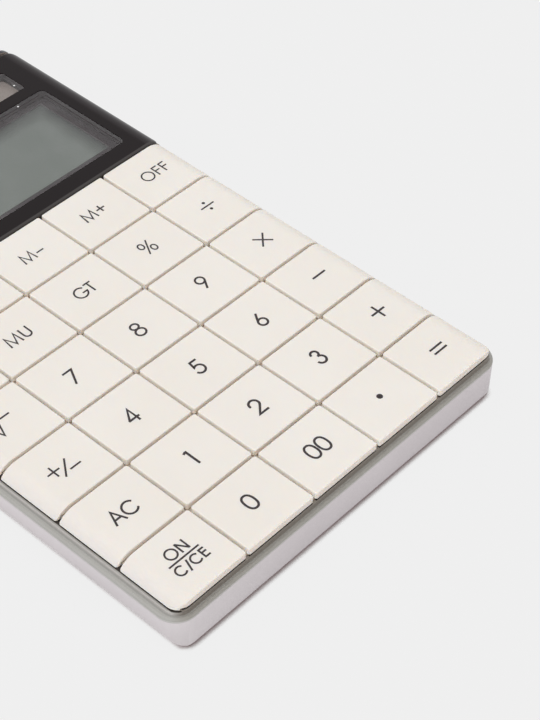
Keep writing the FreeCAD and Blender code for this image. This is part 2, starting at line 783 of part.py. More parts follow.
seat_half_length = "(view_length / 2 + glass_margin)"
draw_box(seat, f"-{seat_half_width}", seat_half_width,
         f"view_middle - {seat_half_length}", f"view_middle + {seat_half_length}")
draw_box(seat, "-view_width / 2", "view_width / 2",
         "view_middle - view_length / 2", "view_middle + view_length / 2")
downward_pad(bezel, seat, "bezel_floor")
keep("display_bezel", bezel)

# Display glass under the bezel, with its reflector below
keep("display_glass", box(
    "display_glass", f"-{seat_half_width}", seat_half_width,
    f"view_middle - {seat_half_length}", f"view_middle + {seat_half_length}", "glass_bottom", "bezel_bottom"))
reflector_half_length = f"({seat_half_length} - strip_inset - strip_width - reflector_margin)"
keep("display_reflector", box(
    "display_reflector", f"-({seat_half_width} - reflector_margin)", f"{seat_half_width} - reflector_margin",
    f"view_middle - {reflector_half_length}", f"view_middle + {reflector_half_length}",
    "reflector_bottom", "glass_bottom"))

# Conductive rubber strip at the front edge of the glass and foam strip at its back edge, both on the board
strip_ends = (f"-({seat_half_width} - reflector_margin)", f"{seat_half_width} - reflector_margin")
strip_front = f"view_middle - {seat_half_length} + strip_inset"
keep("contact_strip", box(
    "contact_strip", *strip_ends, strip_front, f"{strip_front} + strip_width", "board_top", "glass_bottom"))
strip_back = f"view_middle + {seat_half_length} - strip_inset"
keep("foam_strip", box(
    "foam_strip", *strip_ends, f"{strip_back} - strip_width", strip_back, "board_top", "glass_bottom"))

# Solar cell in its seat in the deck under its window, and its two leads down to the board
keep("solar_cell", box(
    "solar_cell", "solar_middle_side - solar_width / 2 - solar_margin",
    "solar_middle_side + solar_width / 2 + solar_margin", "solar_middle - solar_length / 2 - solar_margin",
    "solar_middle + solar_length / 2 + solar_margin", "solar_seat", "deck_top"))
keep("solar_leads", group("solar_leads", [
    cylinder(f"solar_lead_{number}", x, "solar_middle", "board_top", "solar_seat", "lead_radius")
    for number, x in enumerate(lead_places)]))

# Lower case: a shallow tray with wide rounds under its sides and small ones at its ends
plan_block = box("case_plan", "-case_side", "case_side", "-case_end", "case_end", "case_bottom", "seam_level")
doc.recompute()


def rounded_box(name, base, upright_radius, low_radius):
    """A box with rounded upright edges and rounded lower edges."""
    fillet = doc.addObject("Part::Fillet", name)
    fillet.Base = base
    bottom = base.Shape.BoundBox.ZMin
    edges = []
    for index, edge in enumerate(base.Shape.Edges, start=1):
        if edge.BoundBox.ZLength > edge.Length / 2:
            edges.append((index, value(upright_radius), value(upright_radius)))
        elif edge.BoundBox.ZMax < bottom + 1e-5:
            edges.append((index, value(low_radius), value(low_radius)))
    fillet.Edges = edges
    return fillet


plan_round = rounded_box("case_plan_round", plan_block, "shelf_corner", "case_end_round")
section_body = new_body("case_section")
section = new_sketch(section_body, "outline", "-case_end", "XZ_Plane")
draw_outline(section, [
    ("-(case_side - case_side_round)", "case_bottom"),
    ("case_side - case_side_round", "case_bottom"),
    ("case_side", "case_bottom + case_side_round"),
    ("case_side", "seam_level - seam_bevel"),
    ("case_side - seam_bevel", "seam_level"),
    ("-(case_side - seam_bevel)", "seam_level"),
    ("-case_side", "seam_level - seam_bevel"),
    ("-case_side", "case_bottom + case_side_round"),
], {1: ("case_side_round", 1), 7: ("case_side_round", 1)})
upward_pad(section_body, section, "2 * case_end")
shell = doc.addObject("Part::Common", "case_shell")
shell.Base = plan_round
shell.Tool = section_body
inner_side = "case_side - case_wall"
inner_end = "case_end - case_wall"
inner_block = box("case_inside", f"-({inner_side})", inner_side, f"-({inner_end})", inner_end,
                  "floor_top", "seam_level + case_floor")
doc.recompute()
inner_round = rounded_box("case_inside_round", inner_block, "shelf_corner - case_wall", "cavity_round")
tray = cut("case_tray", shell, inner_round)

added = []
removed = []
for number, (x, y) in enumerate(case_screws):
    head_room = "case_screw_head_radius + screw_head_clearance"
    added.append(cylinder(f"pillar_{number}", x, y, "case_bottom + case_floor / 2", "pillar_top",
                          f"{head_room} + pillar_wall"))
    removed.append(cylinder(f"counterbore_{number}", x, y, "case_bottom - case_floor", "screw_seat",
                            head_room))
    removed.append(cylinder(f"pillar_hole_{number}", x, y, "case_bottom", "pillar_top + case_floor",
                            "case_screw_radius + screw_head_clearance"))
ring_inside = "cell_radius + cell_clearance"
added.append(cut("cell_ring",
                 cylinder("cell_ring_outside", "cell_across", "cell_along", "case_bottom + case_floor / 2",
                          "floor_top + cell_ring_height", f"{ring_inside} + cell_ring_wall"),
                 cylinder("cell_ring_inside", "cell_across", "cell_along", "floor_top",
                          "floor_top + 2 * cell_ring_height", ring_inside)))
contact_half = "(contact_width / 2)"
removed.append(box("contact_slot", "cell_across", "cell_across + contact_reach",
                   f"cell_along - {contact_half} - contact_slot_clearance",
                   f"cell_along + {contact_half} + contact_slot_clearance",
                   "floor_top", "floor_top + 2 * cell_ring_height"))
foot_places = [(f"{side_x}(case_side - foot_inset_side)", f"{side_y}(case_end - foot_inset_end)")
               for side_x in ("-", "") for side_y in ("-", "")]
for number, (x, y) in enumerate(foot_places):
    removed.append(cylinder(f"foot_recess_{number}", x, y, "case_bottom - case_floor",
                            "case_bottom + foot_recess", "foot_radius + foot_clearance"))
tray_solid = fuse("case_with_pillars", [tray] + added)
keep("lower_case", cut("lower_case", tray_solid, fuse("case_hollows", removed)))

# Rubber feet glued into the recesses of the lower case
keep("rubber_feet", group("rubber_feet", [
    cylinder(f"rubber_foot_{number}", x, y, "0", "foot_thickness", "foot_radius")
    for number, (x, y) in enumerate(foot_places)]))

# Main circuit board, held up against the bosses of the housing, with a notch for the button cell
board_side = "(cavity_side - board_clearance)"
board_end = "(cavity_end - board_clearance)"
board_blank = box("board_blank", f"-{board_side}", board_side, f"-{board_end}", board_end,
                  "board_bottom", "board_top")
board_holes = [cylinder(f"board_boss_hole_{number}", x, y, "board_bottom - board_thickness",
                        "board_top + board_thickness", "case_boss_radius + boss_board_clearance")
               for number, (x, y) in enumerate(case_screws)]
board_holes += [cylinder(f"board_screw_hole_{number}", x, y, "board_bottom - board_thickness",
                         "board_top + board_thickness", "board_screw_radius + screw_bore_clearance")
                for number, (x, y) in enumerate(board_screws)]
notch_side = "(cell_radius + cell_clearance + cell_ring_wall + board_clearance)"
board_holes.append(box("cell_notch", f"cell_across - {notch_side}", f"cell_across + {notch_side}",
                       f"cell_along - {notch_side}", f"{board_end} + board_clearance",
                       "board_bottom - board_thickness", "board_top + board_thickness"))
keep("main_board", cut("main_board", board_blank, fuse("board_openings", board_holes)))

# Parts soldered under the board: the controller under a drop of resin, a capacitor lying on its side
# and a row of small chips
keep("controller_chip", cylinder("controller_chip", "0", "window_middle", "board_bottom - chip_height",
                                 "board_bottom", "chip_radius"))
capacitor = doc.addObject("Part::Cylinder", "capacitor")
bind(capacitor, "Radius", "capacitor_radius")
bind(capacitor, "Height", "capacitor_length")
capacitor.Placement.Rotation = FreeCAD.Rotation(FreeCAD.Vector(0, 1, 0), 90)
move(capacitor, "solar_middle_side - capacitor_length / 2", "solar_middle", "board_bottom - capacitor_radius")
keep("capacitor", capacitor)
SMALL_PARTS = 6
small_parts = []
for number in range(SMALL_PARTS):
    left = f"chip_radius + {number + 1} * small_part_spacing"
    small_parts.append(box(f"small_part_{number}", left, f"{left} + small_part_length",
                           "window_middle", "window_middle + small_part_width",
                           "board_bottom - small_part_height", "board_bottom"))
keep("small_components", group("small_components", small_parts))

# Key mat: a rubber sheet on the board with one hollow dome under each key, clear of the housing's bosses
mat = new_body("key_mat")
mat_front = "field_front + front_inset + mat_clearance"
mat_back = "display_line - mat_clearance"
mat_side = "(cavity_side - mat_clearance)"
mat_sheet = new_sketch(mat, "sheet", "board_top")
draw_box(mat_sheet, f"-{mat_side}", mat_side, mat_front, mat_back)
for x, y in case_screws:
    if value(y) < value(mat_back):
        draw_circle(mat_sheet, x, y, "case_boss_radius + boss_board_clearance")
for x, y in board_screws:
    draw_circle(mat_sheet, x, y, "board_boss_radius + boss_board_clearance")
upward_pad(mat, mat_sheet, "mat_sheet")


def dome_part(kind, name, level, height, radii):
    """A cone or cylinder of the first dome."""
    part = mat.newObject(f"PartDesign::{kind}", f"key_mat_{name}")
    part.AttachmentSupport = (origin_item(mat, "XY_Plane"), [""])
    part.MapMode = "FlatFace"
    bind(part, ".AttachmentOffset.Base.x", first_across)
    bind(part, ".AttachmentOffset.Base.y", first_along)
    bind(part, ".AttachmentOffset.Base.z", level)
    for key, text in radii.items():
        bind(part, key, text)
    bind(part, "Height", height)
    mat.Tip = part
    return part


dome_parts = [
    dome_part("AdditiveCone", "flank", "board_top", "dome_shoulder - board_top",
              {"Radius1": "dome_base_radius", "Radius2": "dome_top_radius"}),
    dome_part("AdditiveCylinder", "crown", "dome_shoulder", "dome_top - dome_shoulder",
              {"Radius": "dome_top_radius"}),
    dome_part("SubtractiveCone", "hollow", "board_top", "pill_top - board_top",
              {"Radius1": "dome_base_radius - dome_wall", "Radius2": "dome_top_radius - dome_wall"}),
]
grid_pattern(mat, "key_places", dome_parts)
keep("key_mat", mat)

# Conductive pills moulded into the roofs of the domes
pills = []
for row in range(ROWS):
    for column in range(COLUMNS):
        pills.append(cylinder(f"pill_{row}_{column}", f"({column + 0.5} - {COLUMNS} / 2) * key_pitch_across",
                              f"field_front + {row + 0.5} * key_pitch_along",
                              "pill_bottom", "pill_top", "pill_radius"))
keep("contact_pills", group("contact_pills", pills))

# Button cell in the ring of the lower case, with a contact strip under it and one over it
cell_bottom = "(floor_top + contact_thickness)"
cell_top = "(floor_top + contact_thickness + cell_thickness)"
keep("button_cell", cylinder("button_cell", "cell_across", "cell_along", cell_bottom, cell_top,
                             "cell_radius"))
contact_end = "(cell_across + contact_reach)"
contact_span = (f"cell_along - {contact_half}", f"cell_along + {contact_half}")
keep("negative_contact", fuse("negative_contact", [
    box("negative_foot", "cell_across - contact_width / 2", contact_end, *contact_span, "floor_top",
        cell_bottom),
    box("negative_riser", f"{contact_end} - contact_thickness", contact_end, *contact_span,
        "floor_top", "board_bottom"),
]))
keep("positive_contact", fuse("positive_contact", [
    box("positive_head", "cell_across - contact_width / 2", contact_end, *contact_span,
        cell_top, f"{cell_top} + contact_thickness"),
    box("positive_riser", f"{contact_end} - contact_thickness", contact_end, *contact_span,
        "board_top", f"{cell_top} + contact_thickness"),
]))


# Screws with a cross slot, each group one sub-part
def screw(name, x, y, seat_level, head_height, head_radius, shank_radius, length):
    head_bottom = f"{seat_level} - {head_height}"
    head = cylinder(f"{name}_head", x, y, head_bottom, seat_level, head_radius)
    shank = cylinder(f"{name}_shank", x, y, seat_level, f"{seat_level} + {length}", shank_radius)
    arms = []
    for turn, (half_x, half_y) in enumerate([("slot_width / 2", f"{head_radius} * 2 / 3"),
                                             (f"{head_radius} * 2 / 3", "slot_width / 2")]):
        arms.append(box(f"{name}_slot_{turn}", f"{x} - {half_x}", f"{x} + {half_x}", f"{y} - {half_y}",
                        f"{y} + {half_y}", f"{head_bottom} - slot_depth", f"{head_bottom} + slot_depth"))
    return cut(name, fuse(f"{name}_body", [head, shank]), fuse(f"{name}_cross", arms))


keep("case_screws", group("case_screws", [
    screw(f"case_screw_{number}", x, y, "screw_seat", "case_screw_head_height", "case_screw_head_radius",
          "case_screw_radius", "case_screw_length")
    for number, (x, y) in enumerate(case_screws)]))
keep("board_screws", group("board_screws", [
    screw(f"board_screw_{number}", x, y, "board_bottom", "board_screw_head_height", "board_screw_head_radius",
          "board_screw_radius", "board_screw_length")
    for number, (x, y) in enumerate(board_screws)]))

# Checks of the model, then one file for each sub-part
doc.recompute()
for item in doc.Objects:
    if "Invalid" in item.State or "Error" in item.State:
        raise RuntimeError(f"{item.Label} failed: {item.State}")
    if item.TypeId == "PartDesign::Pocket" and item.BaseFeature.Shape.Volume - item.Shape.Volume < 1e-3:
        raise RuntimeError(f"{item.Label} removes nothing")
for node, item in nodes.items():
    if item.Shape.isNull() or not item.Shape.isValid():
        raise RuntimeError(f"{node} has no valid shape")
for node, item in nodes.items():
    item.Shape.exportStep(f"parts/{node}.step")
    print(f"{node}: {len(item.Shape.Solids)} solids, {item.Shape.Volume:.2f} mm3")
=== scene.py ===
import math

import bmesh
import bpy
from mathutils import Matrix, Vector


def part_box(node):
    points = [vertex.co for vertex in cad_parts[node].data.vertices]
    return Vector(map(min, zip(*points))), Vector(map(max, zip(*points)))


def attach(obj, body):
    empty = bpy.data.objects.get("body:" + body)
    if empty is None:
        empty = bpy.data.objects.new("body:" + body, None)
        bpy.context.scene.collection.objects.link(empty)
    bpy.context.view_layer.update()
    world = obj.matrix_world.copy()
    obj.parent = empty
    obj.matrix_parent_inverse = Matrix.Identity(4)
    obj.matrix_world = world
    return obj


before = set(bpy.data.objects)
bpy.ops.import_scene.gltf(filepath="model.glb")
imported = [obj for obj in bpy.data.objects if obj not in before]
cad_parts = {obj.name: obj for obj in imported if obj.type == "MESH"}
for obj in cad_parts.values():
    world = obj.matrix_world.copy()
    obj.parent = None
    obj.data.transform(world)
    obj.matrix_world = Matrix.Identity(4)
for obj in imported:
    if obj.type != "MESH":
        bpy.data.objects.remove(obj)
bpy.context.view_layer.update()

scene = bpy.context.scene
scene.view_settings.view_transform = "Standard"


# The view. The calculator lies across the picture with the corner of its ON key nearest, seen from the left
# of the user at about 45 degrees, with a long lens that leaves the back left part out of the picture.
camera_data = bpy.data.cameras.new("view")
camera_data.lens = 97.45
camera_data.sensor_width = 36.0
camera_data.clip_start = 0.01
camera = bpy.data.objects.new("view", camera_data)
scene.collection.objects.link(camera)
camera_right = Vector((0.67354, -0.73880, 0.02267))
camera_up = Vector((0.51367, 0.48991, 0.70436))
camera_back = Vector((-0.53149, -0.46278, 0.70948))
camera.matrix_world = Matrix.Translation((-0.23306, -0.26569, 0.34384)) @ Matrix(
    (camera_right, camera_up, camera_back)).transposed().to_4x4()
scene.camera = camera


# The table top and the studio. A seamless pale grey sheet of card lies under the calculator, in the light of
# a white tent that is brightest overhead and to the left. The shade round the case is a narrow soft line,
# deeper along the front than along the lit left side.
class Link:
    """A socket of a material's nodes. Sums of links and numbers add the Math nodes they need."""

    def __init__(self, tree, socket=None):
        self.tree = tree
        self.socket = socket

    def add(self, kind, settings=None, sockets=None, output=0):
        """Add a node of any other kind: first its settings, then the values or links of its sockets."""
        node = self.tree.nodes.new("ShaderNode" + kind)
        for name, value in (settings or {}).items():
            setattr(node, name, value)
        for name, value in (sockets or {}).items():
            if isinstance(value, Link):
                self.tree.links.new(value.socket, node.inputs[name])
            else:
                node.inputs[name].default_value = value
        return Link(self.tree, node.outputs[output] if node.outputs else None)

    def maths(self, operation, first, second):
        return self.add("Math", {"operation": operation}, {0: first, 1: second})

    def __add__(self, other):
        return self.maths("ADD", self, other)

    def __radd__(self, other):
        return self.maths("ADD", other, self)

    def __sub__(self, other):
        return self.maths("SUBTRACT", self, other)

    def __rsub__(self, other):
        return self.maths("SUBTRACT", other, self)

    def __mul__(self, other):
        return self.maths("MULTIPLY", self, other)

    def __rmul__(self, other):
        return self.maths("MULTIPLY", other, self)

    def __truediv__(self, other):
        return self.maths("DIVIDE", self, other)

    def __pow__(self, other):
        return self.maths("POWER", self, other)

    def __gt__(self, other):
        return self.maths("GREATER_THAN", self, other)

    def __lt__(self, other):
        return self.maths("LESS_THAN", self, other)

    def mixed(self, first, second):
        """This link as the share of the second colour in a mix of two (colour sockets 6, 7 and 2)."""
        return self.add("Mix", {"data_type": "RGBA"}, {0: self, 6: first, 7: second}, output=2)

    def spread(self, low, high, bottom=0.0, top=1.0):
        """This link from low to high, stretched from bottom to top and kept there."""
        return self.add("MapRange", {"clamp": True},
                        {"Value": self, "From Min": low, "From Max": high, "To Min": bottom, "To Max": top})


def new_finish(name):
    """An empty material, and the link from which its nodes are added."""
    finish = bpy.data.materials.new(name)
    finish.use_nodes = True
    finish.node_tree.nodes.clear()
    return finish, Link(finish.node_tree)


def place_on(start):
    """Places on the object in metres, from its own frame."""
    return start.add("TexCoord", output="Object")


def part_of(start, vector, way):
    """One number of a vector: X to the right, Y to the back or Z up."""
    return start.add("SeparateXYZ", sockets={"Vector": vector}, output=way)


def seen_directly(start):
    """1 for what the camera sees itself, in a gloss or through a clear pane, and 0 for light that falls."""
    camera_ray = start.add("LightPath", output="Is Camera Ray")
    glossy_ray = start.add("LightPath", output="Is Glossy Ray")
    clear_ray = start.add("LightPath", output="Is Transmission Ray")
    either = start.maths("MAXIMUM", camera_ray, glossy_ray)
    return start.maths("MAXIMUM", either, clear_ray)


PALE = (0.863, 0.863, 0.863, 1.0)
studio = bpy.data.worlds.new("studio")
scene.world = studio
studio.use_nodes = True
studio.node_tree.nodes.clear()
start = Link(studio.node_tree)
brightest = Vector((-0.29, -0.04, 1.0)).normalized()
all_round, overhead = 0.35, 1.465
towards = start.add("VectorMath", {"operation": "DOT_PRODUCT"},
                    {0: start.add("TexCoord", output="Generated"), 1: brightest}, output="Value")
tent = all_round + overhead * start.maths("MAXIMUM", towards, 0.0) ** 2.0
falling = start.add("Background", sockets={"Color": (1.0, 1.0, 1.0, 1.0), "Strength": tent})
shown = start.add("Background", sockets={"Color": PALE, "Strength": 1.0})
both = start.add("MixShader", sockets={"Fac": seen_directly(start), 1: falling, 2: shown})
start.add("OutputWorld", sockets={"Surface": both})

card, start = new_finish("pale_card")
fibres = start.add("TexNoise", sockets={"Scale": 900.0, "Detail": 3.0})
lit = start.add("BsdfDiffuse", sockets={"Color": fibres.mixed((0.855, 0.855, 0.855, 1.0), PALE)})
case_left, left_keys = -0.056, -0.052
shade_width = 0.0022
lit_side = part_of(start, place_on(start), "X").spread(case_left, left_keys, 1.0, 0.0)
open_sky = start.add("AmbientOcclusion", {"samples": 8}, {"Distance": shade_width}, output="AO")
clear_of_case = (open_sky + lit_side * 0.135).spread(0.56, 0.715)
clear_of_case = clear_of_case * clear_of_case * (3.0 - 2.0 * clear_of_case)
shade = lit_side.mixed((0.160, 0.118, 0.117, 1.0), (0.560, 0.490, 0.500, 1.0))
even = start.add("Emission", sockets={"Color": clear_of_case.mixed(shade, PALE)})
both = start.add("MixShader", sockets={"Fac": seen_directly(start) * 0.97, 1: lit, 2: even})
start.add("OutputMaterial", sockets={"Surface": both})

half_sheet = 6
sheet_corners = [(half_sheet * x, half_sheet * y, 0) for x, y in ((-1, -1), (1, -1), (1, 1), (-1, 1))]
sheet_mesh = bpy.data.meshes.new("table_top")
sheet_mesh.from_pydata(sheet_corners, [], [(0, 1, 2, 3)])
sheet_mesh.materials.append(card)
table_top = bpy.data.objects.new("table_top", sheet_mesh)
scene.collection.objects.link(table_top)


# The keys: thirty square caps moulded in ivory plastic, with a fine matt grain from the mould. The tops are
# flat and the outer columns curve down at the side. Some light passes through the plastic, and painted
# light makes it warmer and lighter low in the gaps, most of all on the left-facing sides. Painted shade
# darkens the curved left tops and the front faces of the near row.
def parts_of(start, vector):
    """All three numbers of a vector."""
    return [part_of(start, vector, way) for way in "XYZ"]


def way_it_faces(start):
    """The direction of the surface, in the object's own frame."""
    return start.add("TexCoord", output="Normal")


def grain(start, scale, detail=2.0, roughness=0.5):
    """Cloudy grain with features of about 1 / scale metres."""
    return start.add("TexNoise", sockets={"Vector": place_on(start), "Scale": scale, "Detail": detail,
                                          "Roughness": roughness})


def bumps(start, height, distance, strength=1.0):
    return start.add("Bump", sockets={"Strength": strength, "Distance": distance, "Height": height})


def end_finish(start, **sockets):
    """Close a material with one shader, whose sockets are named with low lines for spaces."""
    named = {name.replace("_", " "): value for name, value in sockets.items()}
    start.add("OutputMaterial", sockets={"Surface": start.add("BsdfPrincipled", sockets=named)})


def dress(node, finish):
    """Give a solid of the model its material."""
    for material_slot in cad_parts[node].material_slots:
        material_slot.material = finish


KEY_ROWS = [
    ["key_on_clear", "key_zero", "key_double_zero", "key_point", "key_equals"],
    ["key_all_clear", "key_one", "key_two", "key_three", "key_plus"],
    ["key_change_sign", "key_four", "key_five", "key_six", "key_minus"],
    ["key_square_root", "key_seven", "key_eight", "key_nine", "key_times"],
    ["key_backspace", "key_mark_up", "key_grand_total", "key_percent", "key_divide"],
    ["key_memory_clear", "key_memory_recall", "key_memory_minus", "key_memory_plus", "key_off"],
]
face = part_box("key_one")[1].z
row_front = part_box("key_zero")[0].y
cap_height = 0.0018
curve_foot, curve_crest = -0.0540, -0.0492
ivory, start = new_finish("ivory_key_plastic")
clouds = grain(start, 45.0, 3.0).spread(0.3, 0.7)
cream = clouds.mixed((0.822, 0.770, 0.712, 1.0), (0.836, 0.790, 0.738, 1.0))
across, along, height = parts_of(start, place_on(start))
to_right, to_back, to_top = parts_of(start, way_it_faces(start))
# Painted shade: the curved left tops of the outer keys are darker.
shaded_left_curve = across.spread(curve_foot, curve_crest, 1.0, 0.0) * (to_top > 0.4)
cream = shaded_left_curve.mixed(cream, (0.790, 0.738, 0.700, 1.0))
# Painted light low in the gaps, added to the light that really passes through the plastic.
low = height.spread(face - cap_height, face, 1.0, 0.0) * (1.0 - shaded_left_curve)
cream = (low * 0.8).mixed(cream, (0.93, 0.82, 0.72, 1.0))
# Painted shade: the front faces of the near row are darker.
shaded_near_faces = to_back.spread(-0.9, -0.6, 1.0, 0.0) * (along < row_front + 0.0005)
cream = (shaded_near_faces * 0.5).mixed(cream, (0.80, 0.70, 0.63, 1.0))
# Painted light: the walls that face left are lighter low down.
lit_left_faces = to_right.spread(-0.9, -0.6, 1.0, 0.0) * low.spread(0.0, 0.5)
cream = lit_left_faces.mixed(cream, (1.0, 0.95, 0.88, 1.0))
fine = grain(start, 5200.0, 2.0)
specks = grain(start, 420.0, 4.0, 0.7).spread(0.74, 0.80)
cream = (specks * 0.12).mixed(cream, (0.55, 0.42, 0.33, 1.0))
end_finish(start, Base_Color=cream, Roughness=fine.spread(0.2, 0.8, 0.48, 0.58), Subsurface_Weight=0.35,
           Subsurface_Radius=(1.0, 0.75, 0.5), Subsurface_Scale=0.0016, Specular_IOR_Level=0.35,
           Normal=bumps(start, fine, 0.000006))
for row in KEY_ROWS:
    for key in row:
        dress(key, ivory)


# The legends: printed on the keys in charcoal ink with a roller pad that presses harder on the near rows, in
# plain round letters of one stroke width with square ends. Their points are millimetres from the middle of
# the key.
def arc(x, y, radius, first, last, tall=None, steps=40):
    """Points along part of a circle, or of an upright oval, between two angles in degrees."""
    tall = radius if tall is None else tall
    turns = [math.radians(first + (last - first) * step / steps) for step in range(steps + 1)]
    return [(x + radius * math.cos(turn), y + tall * math.sin(turn)) for turn in turns]


def nought(x, y, wide, tall, square=2.35, steps=64):
    """A closed upright round-cornered oval."""
    points = []
    for step in range(steps):
        turn = 2 * math.pi * step / steps
        cosine, sine = math.cos(turn), math.sin(turn)
        points.append((x + wide * math.copysign(abs(cosine) ** (2 / square), cosine),
                       y + tall * math.copysign(abs(sine) ** (2 / square), sine)))
    return points + points[:1]


def ring(x, y, radius, tall=None):
    return arc(x, y, radius, 0, 360, tall, 56)


def letter_m(left, foot, top, width=3.7):
    """A wide M with splayed legs."""
    return [(left, foot), (left + 0.42, top), (left + width / 2, foot + 0.2), (left + width - 0.42, top),
            (left + width, foot)]


def tail(x, y, ring_x, ring_y, radius, side):
    """The straight stroke of a 6 or 9, from its free end to where it meets its ring."""
    reach = math.hypot(x - ring_x, y - ring_y)
    turn = math.atan2(y - ring_y, x - ring_x) + side * math.acos(radius / reach)
    return [(x, y), (ring_x + radius * math.cos(turn), ring_y + radius * math.sin(turn))]


SMALL, LETTER, DIGIT, SIGN, MEMORY = 0.41, 0.45, 0.52, 0.49, 0.41
PRESS_BY_ROW = (1.15, 1.22, 1.15, 1.08, 1.06, 1.04)
LEGENDS = {
    "key_on_clear": (SMALL, [
        ring(-1.03, 2.87, 1.46),
        [(1.30, 1.32), (1.30, 4.40)], [(3.31, 1.32), (3.31, 4.40)], [(1.38, 4.27), (3.23, 1.45)],
        [(-4.09, 0.46), (5.09, 0.46)],
        arc(-2.73, -1.82, 1.29, 40, 320), [(0.10, -0.42), (-0.98, -3.56)], arc(1.92, -1.80, 1.29, 40, 320),
        [(5.24, -0.62), (3.80, -0.62), (3.80, -3.00), (5.24, -3.00)], [(3.80, -1.64), (5.20, -1.64)]]),
    "key_zero": (DIGIT, [nought(-0.29, 0.63, 1.41, 2.16)]),
    "key_double_zero": (DIGIT, [nought(-1.50, 0.50, 1.40, 2.17), nought(2.03, 0.50, 1.40, 2.17)]),
    "key_point": (0.74, [ring(0.41, 0.65, 0.37)]),
    "key_equals": (SIGN, [[(-1.91, 1.56), (2.65, 1.56)], [(-1.91, -0.03), (2.65, -0.03)]]),
    "key_all_clear": (LETTER, [
        [(-3.38, -2.14), (-1.80, 1.83), (-0.20, -2.14)], [(-2.81, -0.67), (-0.78, -0.67)],
        arc(2.31, -0.19, 1.88, 35, 325)]),
    "key_one": (DIGIT, [[(-0.40, 2.02), (0.42, 2.36)], [(0.50, 2.56), (0.50, -2.36)]]),
    "key_two": (DIGIT, [arc(0.23, 1.13, 1.33, 190, -42) + [(-1.07, -2.04), (1.91, -2.04)]]),
    "key_three": (DIGIT, [arc(0.23, 1.84, 1.01, 178, -90), arc(0.25, -0.41, 1.25, 90, -178)]),
    "key_plus": (SIGN, [[(-2.20, 0.41), (2.42, 0.41)], [(0.18, 2.68), (0.18, -1.90)]]),
    "key_change_sign": (SMALL, [
        [(-4.03, 0.44), (-0.44, 0.44)], [(-2.20, 2.27), (-2.20, -1.38)],
        [(2.25, 1.82), (-1.17, -2.66)], [(1.03, -1.59), (4.29, -1.59)]]),
    "key_four": (DIGIT, [[(0.71, -2.20), (0.71, 2.32), (-1.46, -0.88)], [(-1.72, -0.88), (1.58, -0.88)]]),
    "key_five": (DIGIT, [[(1.50, 2.26), (-0.53, 2.26)] + arc(-0.03, -0.73, 1.40, 124, -163)]),
    "key_six": (DIGIT, [ring(0.09, -0.72, 1.22), tail(0.80, 2.52, 0.09, -0.72, 1.22, 1)]),
    "key_minus": (SIGN, [[(-2.20, 0.59), (2.35, 0.59)]]),
    "key_square_root": (LETTER, [
        [(-3.35, -0.72), (-2.86, -0.46), (-2.12, -2.42), (-0.34, 2.26), (3.32, 2.26)]]),
    "key_seven": (DIGIT, [[(-1.97, 2.12), (0.80, 2.12), (-1.56, -2.38)]]),
    "key_eight": (DIGIT, [ring(-0.80, 1.42, 1.12, 0.98), ring(-0.80, -0.86, 1.38, 1.22)]),
    "key_nine": (DIGIT, [ring(0.03, 1.42, 1.22), tail(-0.62, -1.84, 0.03, 1.42, 1.22, 1)]),
    "key_times": (LETTER, [[(-1.86, 2.31), (1.91, -1.46)], [(-1.86, -1.46), (1.91, 2.31)]]),
    "key_backspace": (LETTER, [[(-2.35, 0.55), (2.30, 0.55)], [(1.00, 1.85), (2.30, 0.55), (1.00, -0.75)]]),
    "key_mark_up": (LETTER, [
        letter_m(-3.85, -1.75, 1.90), [(0.95, 1.92)] + arc(2.00, -0.55, 1.05, 180, 360) + [(3.05, 1.92)]]),
    "key_grand_total": (LETTER, [
        arc(-1.34, 0.30, 1.80, 38, 351) + [(-1.03, 0.02)],
        [(1.86, 1.94), (1.86, -1.50)], [(0.72, 1.94), (3.00, 1.94)]]),
    "key_percent": (0.40, [
        ring(-1.32, 1.60, 0.77, 1.02), ring(1.09, -0.70, 0.77, 1.02), [(1.26, 2.80), (-1.48, -1.94)]]),
    "key_divide": (0.44, [[(-2.45, 0.58), (2.12, 0.58)], ring(-0.18, 2.03, 0.21), ring(-0.18, -0.91, 0.21)]),
    "key_memory_clear": (MEMORY, [letter_m(-3.90, -1.40, 2.22), arc(2.30, 0.41, 1.60, 38, 322)]),
    "key_memory_recall": (MEMORY, [
        letter_m(-3.55, -1.40, 2.22),
        [(1.20, -1.38), (1.20, 2.20), (2.30, 2.20)] + arc(2.30, 1.25, 0.95, 90, -90, steps=24)
        + [(1.30, 0.30)],
        [(2.05, 0.30), (3.30, -1.38)]]),
    "key_memory_minus": (MEMORY, [letter_m(-3.46, -1.52, 1.98), [(1.09, -0.09), (3.40, -0.09)]]),
    "key_memory_plus": (0.47, [
        letter_m(-3.92, -1.21, 2.27), [(0.65, 0.65), (3.30, 0.65)], [(1.96, 1.95), (1.96, -0.65)]]),
    "key_off": (MEMORY, [
        ring(-2.42, 0.83, 1.74), [(2.04, 2.50), (0.38, 2.50), (0.38, -0.91)], [(0.38, 1.01), (1.96, 1.01)],
        [(4.53, 2.50), (2.87, 2.50), (2.87, -0.91)], [(2.87, 1.01), (4.45, 1.01)]]),
}


MITRE_LIMIT = 2.2
INK_RISE, STROKE_STEP, INK_DEPTH = 0.000008, 0.000001, 0.00001


